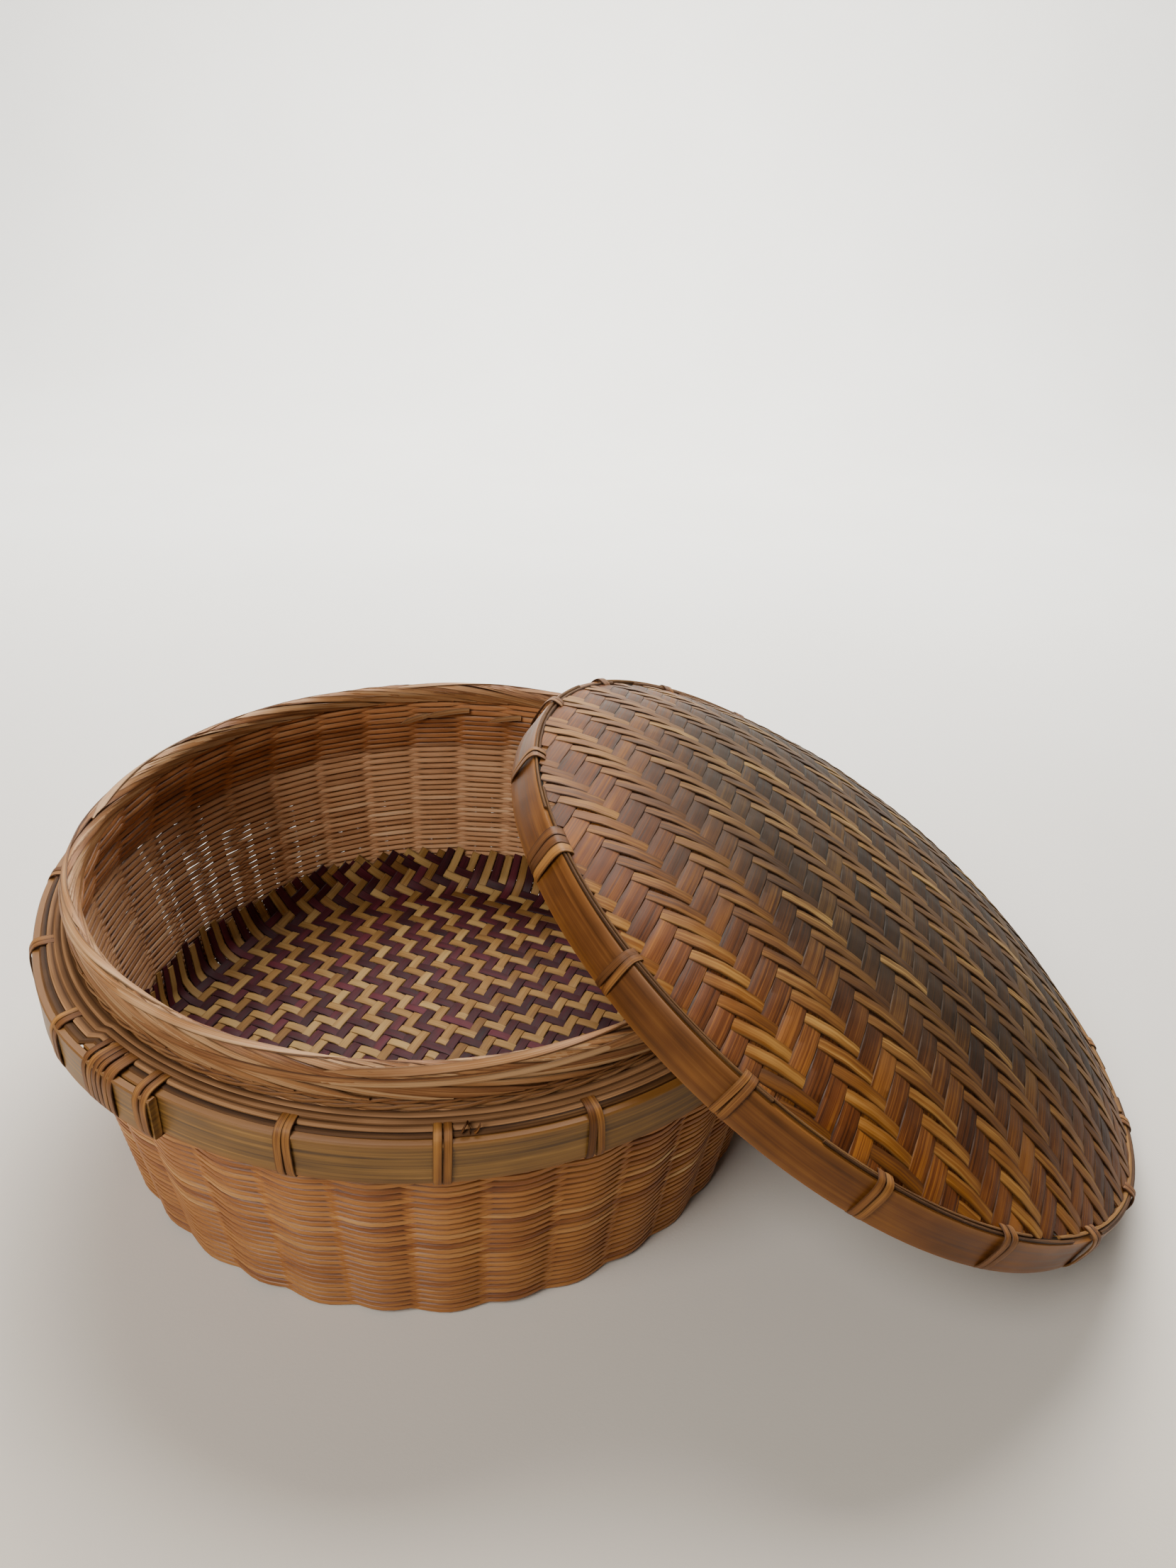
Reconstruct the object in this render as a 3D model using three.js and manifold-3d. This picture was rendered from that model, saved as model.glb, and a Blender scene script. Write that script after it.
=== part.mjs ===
// Round woven basket with a separate domed lid that leans against its rim.
// Millimetres, +Z up, floor at z = 0.  The basket stands on the origin and the lid leans
// towards +X: its low edge is on the floor and its hoop rests across the basket's rim.
import * as THREE from "three";
import { mergeVertices } from "three/addons/utils/BufferGeometryUtils.js";
import Module from "manifold-3d";

const wasm = await Module();
wasm.setup();

// Driving dimensions.
const GAP = 0.4;
const RING_STEPS = 60;
const STAKE_COUNT = 36;
const LEDGE_LASHING_COUNT = 20;
const LID_LASHING_COUNT = 18;

// Basket wall: mean outer radius at a few heights, from the foot to the top.
const WALL_TOP = 115.2;
const UPPER_WALL_RADIUS = 137;
const WALL_LINE = [[132.2, 0], [143.8, 82], [138.9, 94.5], [UPPER_WALL_RADIUS, 101],
  [UPPER_WALL_RADIUS, WALL_TOP]];
const WALL_THICKNESS = 3.4;
const WALL_RIPPLE = 0.6;

// Stakes: flat uprights lying in channels in the wall's inner face.
const STAKE_WIDTH = 8;
const STAKE_THICKNESS = 0.9;
const CHANNEL_DEPTH = STAKE_THICKNESS + GAP;
const STAKE_TOP = WALL_TOP - 0.8;

// Base: a lower layer joined to the stakes, and the patterned mat with a turned-up edge.
const FOOT_THICKNESS = 2;
const MAT_THICKNESS = 1.4;
const MAT_UPTURN_TOP = 24;

// Border: splints rolled over the wall's top and a braid below them.
const RIM_OUTER = 139.5;
const RIM_TOP = 120;
const RIM_SKIRT_BOTTOM = 107.4;
const RIM_STRANDS = 20;
const BRAID_BOTTOM = 102.4;

// Ledge: a flat bamboo band with lapped ends, and two canes between it and the wall.
const BAND_INNER = 148;
const BAND_THICKNESS = 3;
const BAND_BOTTOM = 84.6;
const BAND_TOP = 101;
const CANE_LINE = BAND_INNER - 1.7;
const LAP_START = 231;
const LAP_LENGTH = 14;
const LAP_RAMP = 32;

// Lid, drawn in its own frame: the hoop's lower edge is in the plane z = 0.
const LID_RADIUS = 147.5;
const HOOP_HEIGHT = 14.5;
const HOOP_TAPER = 1.2;
const OUTER_HOOP_THICKNESS = 2.6;
const DOME_SKIRT_THICKNESS = 1.6;
const INNER_HOOP_THICKNESS = 1.4;
const DOME_RISE = 28;
const DOME_POWER = 2.3;
const DOME_THICKNESS = 2.2;
const LID_TILT = 30.3;
const LID_OFFSET = 157;

// Lashings: flat cane wound round a hoop in a few turns side by side.
const CANE_WIDTH = 2.4;
const CANE_THICKNESS = 0.8;
const TURN_PITCH = 3.3;
const WRAP_PITCH = 2.7;
const FIRST_LEDGE_LASHING = 9.6;
const LEDGE_WRAP_ANGLE = LAP_START + 5;
const LEDGE_WRAP_TURNS = 6;
const FIRST_LID_LASHING = 6;
const LID_WRAP_INDEX = 10;
const LID_WRAP_TURNS = 5;

const DEG = Math.PI / 180;

function material(hex, roughness) {
  return new THREE.MeshStandardMaterial({ color: hex, roughness, metalness: 0 });
}

const WEFT = material(0xa8763f, 0.75);
const STAKE = material(0xb98a55, 0.75);
const MAT = material(0x7a3c42, 0.7);
const RIM = material(0xb78d58, 0.7);
const BAND = material(0x80693a, 0.55);
const PALE_CANE = material(0xb09a88, 0.8);
const DARK_CANE = material(0x5d4630, 0.75);
const LASHING = material(0x7a5a36, 0.65);
const DOME = material(0x6e5238, 0.6);
const HOOP = material(0x96602a, 0.45);

// ---- geometry helpers -------------------------------------------------------------------

function interpolate(line, height) {
  let index = 1;
  while (index < line.length - 1 && height > line[index][1]) {
    index += 1;
  }
  const [r0, z0] = line[index - 1];
  const [r1, z1] = line[index];
  return r0 + (r1 - r0) * (height - z0) / (z1 - z0);
}

function evenAngles(count) {
  return Array.from({ length: count }, (_, index) => 360 * index / count);
}

// Joins rings of corners into one closed surface.  The corners of every ring run
// counter-clockwise when looking along the row of rings from behind.  An open row is closed
// with flat ends.
function loft(rings, closed = true) {
  const corners = rings[0].length;
  const indices = [];
  const spans = closed ? rings.length : rings.length - 1;
  for (let station = 0; station < spans; station += 1) {
    const here = station * corners;
    const there = ((station + 1) % rings.length) * corners;
    for (let corner = 0; corner < corners; corner += 1) {
      const next = (corner + 1) % corners;
      indices.push(here + corner, there + corner, there + next);
      indices.push(here + corner, there + next, here + next);
    }
  }
  if (!closed) {
    const last = (rings.length - 1) * corners;
    for (let corner = 1; corner < corners - 1; corner += 1) {
      indices.push(0, corner, corner + 1);
      indices.push(last, last + corner + 1, last + corner);
    }
  }
  const geometry = new THREE.BufferGeometry();
  geometry.setAttribute("position", new THREE.Float32BufferAttribute(rings.flat(2), 3));
  geometry.setIndex(indices);
  return geometry;
}

function polar(radius, angle, height) {
  return [radius * Math.cos(angle * DEG), radius * Math.sin(angle * DEG), height];
}

// Sweeps a section, given as [radius, height] corners, round the Z axis.
function sweep(angles, sectionAt, closed = true) {
  return loft(angles.map((angle) => sectionAt(angle).map(([r, z]) => polar(r, angle, z))), closed);
}

function ring(section) {
  return sweep(evenAngles(RING_STEPS), () => section);
}

function rectangle(inner, outer, bottom, top) {
  return [[inner, bottom], [outer, bottom], [outer, top], [inner, top]];
}

// A plate standing on a radius: its outline is drawn in [radius, height] and it is as wide
// as asked along the ring, centred on the angle.
function radialPlate(outline, width, angle) {
  const shape = new THREE.Shape(outline.map(([r, z]) => new THREE.Vector2(r, z)));
  const geometry = new THREE.ExtrudeGeometry(shape, { depth: width, bevelEnabled: false });
  geometry.translate(0, 0, -width / 2);
  geometry.rotateX(Math.PI / 2);
  geometry.rotateZ(angle * DEG);
  return geometry;
}

function toManifold(geometry) {
  const bare = geometry.clone();
  bare.deleteAttribute("normal");
  bare.deleteAttribute("uv");
  const merged = mergeVertices(bare, 1e-4);
  return new wasm.Manifold(new wasm.Mesh({
    numProp: 3,
    vertProperties: new Float32Array(merged.attributes.position.array),
    triVerts: new Uint32Array(merged.index.array),
  }));
}

function fromManifold(solid) {
  const mesh = solid.getMesh();
  const geometry = new THREE.BufferGeometry();
  geometry.setAttribute("position", new THREE.Float32BufferAttribute(mesh.vertProperties, 3));
  geometry.setIndex(Array.from(mesh.triVerts));
  return geometry;
}

function union(geometries) {
  const solids = geometries.map(toManifold);
  return fromManifold(solids.reduce((sum, solid) => sum.add(solid)));
}

function subtract(body, cutters) {
  const solids = cutters.map(toManifold);
  return fromManifold(solids.reduce((rest, solid) => rest.subtract(solid), toManifold(body)));
}

function part(name, geometry, surface) {
  const flat = geometry.index ? geometry.toNonIndexed() : geometry;
  flat.computeVertexNormals();
  const mesh = new THREE.Mesh(flat, surface);
  mesh.name = name;
  return mesh;
}

function numbered(stem, index) {
  return `${stem}_${String(index).padStart(2, "0")}`;
}

// ---- basket -----------------------------------------------------------------------------

function wallInner(height) {
  return interpolate(WALL_LINE, height) - WALL_THICKNESS;
}

// The line a stake follows, offset outward from the wall's inner face.
function stakeLine(offset, bottom, top) {
  const knees = WALL_LINE.map(([, z]) => z).filter((z) => z > bottom && z < top);
  return [bottom, ...knees, top].map((z) => [wallInner(z) + offset, z]);
}

function stakeOutline() {
  const tab = FOOT_THICKNESS / 2;
  const outer = stakeLine(STAKE_THICKNESS, 0.2, STAKE_TOP);
  const inner = stakeLine(0.1, 0.2, STAKE_TOP).reverse().slice(0, -1);
  return [...outer, ...inner, [wallInner(tab) + 0.1, tab + 0.4], [wallInner(0) - 5, tab + 0.4],
    [wallInner(0) - 5, 0.2]];
}

function channelOutline() {
  const deep = stakeLine(CHANNEL_DEPTH, -1, WALL_TOP + 1);
  const shallow = stakeLine(-1, -1, WALL_TOP + 1).reverse();
  return [...deep, ...shallow];
}

function baseAndStakes() {
  const disc = new THREE.CylinderGeometry(wallInner(0) - 1.5, wallInner(0) - 1.5, FOOT_THICKNESS,
    RING_STEPS);
  disc.rotateX(Math.PI / 2);
  disc.translate(0, 0, FOOT_THICKNESS / 2);
  const stakes = evenAngles(STAKE_COUNT)
    .map((angle) => radialPlate(stakeOutline(), STAKE_WIDTH, angle));
  return part("base_and_stakes", union([disc, ...stakes]), STAKE);
}

function baseMat() {
  const bottom = FOOT_THICKNESS + GAP;
  const flat = wallInner(bottom) - 8;
  const foot = wallInner(9) - GAP;
  const head = wallInner(MAT_UPTURN_TOP) - GAP;
  const profile = [[0, bottom], [flat, bottom], [foot, bottom + 7], [head, MAT_UPTURN_TOP],
    [head - MAT_THICKNESS, MAT_UPTURN_TOP], [foot - MAT_THICKNESS, bottom + 7.6],
    [flat - 0.5, bottom + MAT_THICKNESS], [0, bottom + MAT_THICKNESS]];
  const lathe = new THREE.LatheGeometry(profile.map(([r, z]) => new THREE.Vector2(r, z)),
    RING_STEPS);
  lathe.rotateX(Math.PI / 2);
  return part("base_mat", fromManifold(toManifold(lathe)), MAT);
}

function wallWeave() {
  const section = (angle) => {
    const bulge = WALL_RIPPLE * Math.cos(STAKE_COUNT * angle * DEG);
    const outer = WALL_LINE.map(([r, z]) => [r + bulge * (r === UPPER_WALL_RADIUS ? 0.5 : 1), z]);
    const inner = WALL_LINE.map(([, z]) => [wallInner(z), z]).reverse();
    return [...outer, ...inner];
  };
  const shell = sweep(evenAngles(2 * STAKE_COUNT), section);
  const channels = evenAngles(STAKE_COUNT)
    .map((angle) => radialPlate(channelOutline(), STAKE_WIDTH + 2 * GAP, angle));
  return part("wall_weave", subtract(shell, channels), WEFT);
}

// The rolled border caps the wall and hangs down its outside.  Its outer face carries the
// slanting ridges of the strands.
function rimRoll() {
  const clear = UPPER_WALL_RADIUS + WALL_RIPPLE / 2 + GAP;
  const section = (angle) => {
    const ridge = (turn) => 0.3 * Math.cos((RIM_STRANDS * angle + turn) * DEG);
    return [
      [wallInner(WALL_TOP) - 0.4, WALL_TOP + GAP],
      [clear, WALL_TOP + GAP],
      [clear, RIM_SKIRT_BOTTOM],
      [RIM_OUTER - 0.6, RIM_SKIRT_BOTTOM],
      [RIM_OUTER + ridge(0), RIM_SKIRT_BOTTOM + 4],
      [RIM_OUTER - 0.3 + ridge(120), RIM_TOP - 2.5],
      [RIM_OUTER - 2.4, RIM_TOP + ridge(240) - 0.3],
      [wallInner(WALL_TOP) + 0.2, RIM_TOP - 1.2],
    ];
  };
  return part("rim_roll", sweep(evenAngles(RING_STEPS), section), RIM);
}

function rimBraid() {
  const inner = UPPER_WALL_RADIUS + WALL_RIPPLE / 2 + GAP;
  const top = RIM_SKIRT_BOTTOM - GAP;
  const section = (angle) => {
    const ridge = 0.25 * Math.cos(RIM_STRANDS * angle * DEG);
    return [[inner, BRAID_BOTTOM], [inner + 1.2 - ridge, BRAID_BOTTOM],
      [inner + 1.4 + ridge, (BRAID_BOTTOM + top) / 2], [inner + 1.2 - ridge, top], [inner, top]];
  };
  return part("rim_braid", sweep(evenAngles(RING_STEPS), section), RIM);
}

// How far the ledge band has climbed outward, at an angle measured along it from its start.
function lapClimb(along) {
  const climb = (along - (360 - LAP_RAMP)) / (LAP_RAMP - 2);
  return Math.min(Math.max(climb, 0), 1) * (BAND_THICKNESS + GAP);
}

function ledgeBand() {
  const steps = Math.round((360 + LAP_LENGTH) / (360 / RING_STEPS));
  const alongs = Array.from({ length: steps + 1 }, (_, i) => (360 + LAP_LENGTH) * i / steps);
  const section = (angle) => {
    const inner = BAND_INNER + lapClimb(angle - LAP_START);
    return rectangle(inner, inner + BAND_THICKNESS, BAND_BOTTOM, BAND_TOP);
  };
  return part("ledge_band", sweep(alongs.map((along) => LAP_START + along), section, false), BAND);
}

function ledgeCanes() {
  const outer = [[CANE_LINE - 1.2, BAND_TOP - 1.9], [CANE_LINE + 0.9, BAND_TOP - 2.1],
    [CANE_LINE + 1.1, BAND_TOP + 0.1], [CANE_LINE - 0.7, BAND_TOP + 0.7]];
  const inner = [[CANE_LINE - 3.2, BAND_TOP - 3.3], [CANE_LINE - 1.7, BAND_TOP - 2.9],
    [CANE_LINE - 2.5, BAND_TOP - 0.9]];
  return [part("ledge_cane_outer", ring(outer), PALE_CANE),
    part("ledge_cane_inner", ring(inner), DARK_CANE)];
}

// Turns of flat cane lying side by side.  The loop's corners are listed counter-clockwise
// in [radius, height], on its inner and its outer side; grooves part the turns.
function lashing(name, loop, turns, pitch, angle) {
  const outside = Math.max(...loop.inner.map(([r]) => r));
  const width = (turns - 1) * pitch + CANE_WIDTH;
  const groove = pitch - CANE_WIDTH;
  const section = [[-width / 2, 0], [width / 2, 0], [width / 2, 1]];
  for (let turn = 1; turn < turns; turn += 1) {
    const edge = width / 2 - turn * pitch;
    section.push([edge + groove, 1], [edge + groove, 0.5], [edge, 0.5], [edge, 1]);
  }
  section.push([-width / 2, 1]);
  const rings = loop.inner.map(([r, z], corner) => section.map(([along, share]) => {
    const radius = r + (loop.outer[corner][0] - r) * share;
    const height = z + (loop.outer[corner][1] - z) * share;
    return polar(radius, angle + along / outside / DEG, height);
  }));
  return part(name, loft(rings), LASHING);
}

function ledgeLoop(angle) {
  const along = (angle - LAP_START + 720) % 360;
  const climb = along < LAP_LENGTH + 1 ? BAND_THICKNESS + GAP : lapClimb(along + 2);
  const outside = BAND_INNER + BAND_THICKNESS + climb + GAP;
  const bottom = BAND_BOTTOM - GAP;
  const top = BAND_TOP + 1.2;
  const lowInside = CANE_LINE;
  const highInside = CANE_LINE - 5;
  return {
    inner: [[lowInside, bottom], [outside, bottom], [outside, top], [highInside, top]],
    outer: [[lowInside - 1, bottom - CANE_THICKNESS],
      [outside + CANE_THICKNESS, bottom - CANE_THICKNESS],
      [outside + CANE_THICKNESS, top + CANE_THICKNESS],
      [highInside - 1.1, top + CANE_THICKNESS]],
  };
}

function ledgeLashings() {
  const singles = Array.from({ length: LEDGE_LASHING_COUNT }, (_, index) => {
    const angle = FIRST_LEDGE_LASHING + 360 * index / LEDGE_LASHING_COUNT;
    return lashing(numbered("ledge_lashing", index + 1), ledgeLoop(angle), 2, TURN_PITCH, angle);
  });
  const wrap = lashing("ledge_lap_wrap", ledgeLoop(LEDGE_WRAP_ANGLE), LEDGE_WRAP_TURNS,
    WRAP_PITCH, LEDGE_WRAP_ANGLE);
  return [...singles, wrap];
}

// ---- lid --------------------------------------------------------------------------------

const SKIRT_OUTER = LID_RADIUS - OUTER_HOOP_THICKNESS - GAP;
const SKIRT_INNER = SKIRT_OUTER - DOME_SKIRT_THICKNESS;
const INNER_HOOP_OUTER = SKIRT_INNER - GAP;
const INNER_HOOP_INNER = INNER_HOOP_OUTER - INNER_HOOP_THICKNESS;

function domeHeight(share) {
  return DOME_RISE * (1 - share ** DOME_POWER);
}

function lidDome(holes) {
  const shares = [1, 0.92, 0.78, 0.55, 0.25, 0];
  const outer = shares.map((share) => [SKIRT_OUTER * share, HOOP_HEIGHT + domeHeight(share)]);
  const inner = shares.map((share) =>
    [SKIRT_INNER * share, HOOP_HEIGHT - DOME_THICKNESS + domeHeight(share)]).reverse();
  const profile = [[SKIRT_OUTER, 1], ...outer, ...inner, [SKIRT_INNER, 1], [SKIRT_OUTER, 1]];
  const lathe = new THREE.LatheGeometry(profile.map(([r, z]) => new THREE.Vector2(r, z)),
    RING_STEPS);
  lathe.rotateX(Math.PI / 2);
  return part("lid_dome", subtract(lathe, holes), DOME);
}

function lidHoops() {
  const outer = [[LID_RADIUS - OUTER_HOOP_THICKNESS, 0], [LID_RADIUS, 0],
    [LID_RADIUS - HOOP_TAPER, HOOP_HEIGHT], [LID_RADIUS - OUTER_HOOP_THICKNESS, HOOP_HEIGHT]];
  const inner = rectangle(INNER_HOOP_INNER, INNER_HOOP_OUTER, 0.4, HOOP_HEIGHT - 3);
  const filler = [[SKIRT_OUTER + 0.2, HOOP_HEIGHT + GAP], [LID_RADIUS - 1.4, HOOP_HEIGHT + GAP],
    [LID_RADIUS - 1.9, HOOP_HEIGHT + 2.2], [SKIRT_OUTER - 0.8, HOOP_HEIGHT + 2.6]];
  return [part("lid_outer_hoop", ring(outer), HOOP), part("lid_inner_hoop", ring(inner), HOOP),
    part("lid_filler_cane", ring(filler), DARK_CANE)];
}

const LID_LOOP_TOP = HOOP_HEIGHT + 3;
const LID_LOOP_INNER = INNER_HOOP_INNER - GAP;

function lidLoop() {
  const outside = LID_RADIUS + GAP;
  return {
    inner: rectangle(LID_LOOP_INNER, outside, -GAP, LID_LOOP_TOP),
    outer: rectangle(LID_LOOP_INNER - CANE_THICKNESS, outside + CANE_THICKNESS,
      -GAP - CANE_THICKNESS, LID_LOOP_TOP + CANE_THICKNESS),
  };
}

function lidLashingPlan() {
  return Array.from({ length: LID_LASHING_COUNT }, (_, index) => ({
    name: index === LID_WRAP_INDEX ? "lid_lap_wrap" : numbered("lid_lashing", index + 1),
    angle: FIRST_LID_LASHING + 360 * index / LID_LASHING_COUNT,
    turns: index === LID_WRAP_INDEX ? LID_WRAP_TURNS : 2,
    pitch: index === LID_WRAP_INDEX ? WRAP_PITCH : TURN_PITCH,
  }));
}

// Each lashing passes through the dome just inside the hoops, by a hole of its own.
function lashingHole({ angle, turns, pitch }) {
  const width = (turns - 1) * pitch + CANE_WIDTH + 2 * GAP;
  return radialPlate(rectangle(LID_LOOP_INNER - CANE_THICKNESS - GAP, LID_LOOP_INNER + GAP,
    HOOP_HEIGHT - 8, HOOP_HEIGHT + 8), width, angle);
}

function lidLashings(plan) {
  return plan.map(({ name, angle, turns, pitch }) =>
    lashing(name, lidLoop(), turns, pitch, angle));
}

// Tilts the lid, then lowers it until its lowest point is on the floor.
function leanLid(lid) {
  lid.rotation.y = LID_TILT * DEG;
  lid.updateMatrixWorld(true);
  const floor = new THREE.Box3().setFromObject(lid, true).min.z;
  lid.position.set(LID_OFFSET, 0, -floor);
  return lid;
}

// ---- assembly ---------------------------------------------------------------------------

const basket = new THREE.Group();
basket.add(baseAndStakes(), baseMat(), wallWeave(), rimRoll(), rimBraid(), ledgeBand(),
  ...ledgeCanes(), ...ledgeLashings());

const plan = lidLashingPlan();
const lid = new THREE.Group();
lid.add(lidDome(plan.map(lashingHole)), ...lidHoops(), ...lidLashings(plan));

const model = new THREE.Group();
model.add(basket, leanLid(lid));

export default model;
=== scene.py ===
"""The look of the woven basket and its lid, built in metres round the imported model."""

import math
from typing import NamedTuple

import bpy
import numpy as np
from mathutils import Euler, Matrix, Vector


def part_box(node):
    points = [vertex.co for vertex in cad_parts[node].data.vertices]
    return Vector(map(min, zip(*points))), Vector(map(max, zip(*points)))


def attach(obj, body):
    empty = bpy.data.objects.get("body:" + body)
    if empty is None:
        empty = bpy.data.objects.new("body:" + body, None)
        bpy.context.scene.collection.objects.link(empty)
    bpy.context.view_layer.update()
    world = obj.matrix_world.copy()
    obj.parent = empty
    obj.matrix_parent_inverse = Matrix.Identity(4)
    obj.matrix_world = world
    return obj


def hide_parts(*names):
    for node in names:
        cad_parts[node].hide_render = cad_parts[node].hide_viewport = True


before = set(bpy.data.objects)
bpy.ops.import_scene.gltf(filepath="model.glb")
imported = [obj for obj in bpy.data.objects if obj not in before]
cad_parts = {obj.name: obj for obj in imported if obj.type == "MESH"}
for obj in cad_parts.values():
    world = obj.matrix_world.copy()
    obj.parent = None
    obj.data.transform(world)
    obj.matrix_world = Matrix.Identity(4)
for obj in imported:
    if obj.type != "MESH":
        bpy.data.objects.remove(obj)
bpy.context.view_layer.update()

MM = 0.001
TURN = 2 * math.pi
rng = np.random.default_rng(11)


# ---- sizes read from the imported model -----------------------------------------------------

def corners_of(node):
    """The corners of a CAD node, one row each."""
    return np.array([v.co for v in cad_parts[node].data.vertices], float).reshape(-1, 3)


def ring_profile(node):
    """Heights of a round node's knees, with its largest and smallest radius at each."""
    co = corners_of(node)
    radius = np.hypot(co[:, 0], co[:, 1])
    height = co[:, 2].round(4)
    levels = np.unique(height)
    outer = np.array([radius[height == level].max() for level in levels])
    inner = np.array([radius[height == level].min() for level in levels])
    return levels, outer, inner


def wall_profile():
    """The wall's knees: only those heights that have corners both outside and inside."""
    levels, outer, inner = ring_profile("wall_weave")
    both = outer - inner > 1.0 * MM
    return levels[both], outer[both], inner[both]


def lid_axes():
    """Origin and axes of the lid: its hoop's lower plane, with x pointing downhill."""
    co = corners_of("lid_outer_hoop")
    centre = co.mean(0)
    normal = np.linalg.svd(co - centre)[2][2]
    normal *= np.sign(normal[2])
    down = np.cross([0.0, 1.0, 0.0], normal)
    down /= np.linalg.norm(down)
    side = np.cross(normal, down)
    along = (co - centre) @ normal
    return centre + along.min() * normal, np.array([down, side, normal])


WALL_Z, WALL_OUT, WALL_IN = wall_profile()
WALL_TOP = WALL_Z[-1]
LID_ORIGIN, LID_AXES = lid_axes()
STAKES = 36
BAND_LOW, BAND_HIGH = (corner.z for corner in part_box("ledge_band"))
MAT_LOW, MAT_HIGH = (corner.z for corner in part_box("base_mat"))
RIM_LOW, RIM_HIGH = (corner.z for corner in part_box("rim_roll"))
BRAID_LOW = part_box("rim_braid")[0].z
RIM_OUTER = ring_profile("rim_roll")[1].max() + 0.2 * MM


def lid_points(points):
    """Points given in the lid's own frame, as they are in the scene."""
    return LID_ORIGIN + points @ LID_AXES


def lid_local(node):
    """A CAD node's corners in the lid's own frame."""
    return (corners_of(node) - LID_ORIGIN) @ LID_AXES.T


HOOP = lid_local("lid_outer_hoop")
HOOP_RADIUS = np.hypot(HOOP[:, 0], HOOP[:, 1]).max()
HOOP_HEIGHT = HOOP[:, 2].max()
DOME = lid_local("lid_dome")
DOME_RADIUS = np.hypot(DOME[:, 0], DOME[:, 1]).max()
DOME_TOP = DOME[:, 2].max() + 1.0 * MM
DOME_POWER = 2.6


# ---- materials ----------------------------------------------------------------------------

def rgb(code):
    """Linear colour of a six-digit sRGB code."""
    parts = [int(code[i:i + 2], 16) / 255 for i in (0, 2, 4)]
    return [c / 12.92 if c <= 0.04045 else ((c + 0.055) / 1.055) ** 2.4 for c in parts] + [1]


class Shader:
    """A node material in the making."""

    def __init__(self, name):
        self.material = bpy.data.materials.new(name)
        self.material.use_nodes = True
        self.tree = self.material.node_tree
        self.surface = self.tree.nodes["Principled BSDF"]

    def feed(self, socket, value):
        """Links another node's output to a socket, or sets the socket to a plain value."""
        if isinstance(value, bpy.types.NodeSocket):
            self.tree.links.new(value, socket)
        else:
            socket.default_value = value

    def node(self, kind, inputs, **settings):
        """Adds a node with its inputs fed and its settings made."""
        made = self.tree.nodes.new(kind)
        for key, value in settings.items():
            setattr(made, key, value)
        for key, value in inputs.items():
            self.feed(made.inputs[key], value)
        return made

    def attribute(self, name):
        return self.node("ShaderNodeAttribute", {}, attribute_name=name)

    def math(self, operation, first, second=0.0):
        return self.node("ShaderNodeMath", {0: first, 1: second}, operation=operation).outputs[0]

    def split(self, vector):
        return self.node("ShaderNodeSeparateXYZ", {0: vector}).outputs

    def join(self, x, y, z):
        return self.node("ShaderNodeCombineXYZ", {0: x, 1: y, 2: z}).outputs[0]

    def noise(self, vector, scale=1.0, detail=3.0):
        return self.node("ShaderNodeTexNoise",
                         {"Vector": vector, "Scale": scale, "Detail": detail}).outputs["Fac"]

    def ramp(self, value, stops):
        """A colour between stops, which are pairs of a place and a colour code."""
        made = self.node("ShaderNodeValToRGB", {0: value})
        elements = made.color_ramp.elements
        while len(elements) < len(stops):
            elements.new(1.0)
        for element, (place, code) in zip(elements, stops):
            element.position = place
            element.color = rgb(code)
        return made.outputs[0]

    def blend(self, share, first, second):
        """The first colour at share 0, the second at share 1."""
        made = self.node("ShaderNodeMix", {}, data_type="RGBA")
        self.feed(made.inputs[0], share)
        self.feed(made.inputs[6], first)
        self.feed(made.inputs[7], second)
        return made.outputs[2]

    def range(self, value, low, high, start=0.0, end=1.0):
        """A value from low to high, carried over to start to end and held there outside."""
        made = self.node("ShaderNodeMapRange", {0: value, 1: low, 2: high, 3: start, 4: end})
        return made.outputs[0]

    def finish(self, colour, roughness, height, depth):
        """Feeds the shader; depth is how deep the bump made from height goes."""
        bump = self.node("ShaderNodeBump", {"Height": height, "Strength": 1.0,
                                            "Distance": depth})
        self.feed(self.surface.inputs["Base Color"], colour)
        self.feed(self.surface.inputs["Roughness"], roughness)
        self.feed(self.surface.inputs["Normal"], bump.outputs[0])
        return self.material


# How fast each pattern changes per metre of cane, and how far apart the canes' own patterns lie.
STREAK_RATE = 16.0
PATCH_RATE = 45.0
GRIME_RATE = 38.0
SEED_SPREAD = 57.0
# EDGE_SHARE: how far a strip's edges take the edge colour, mostly painted shade between strips.
EDGE_SHARE = 0.85
POLISH_GAIN = 0.16
DUST = "6b5a48"
GRIME = "3a2110"


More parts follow.
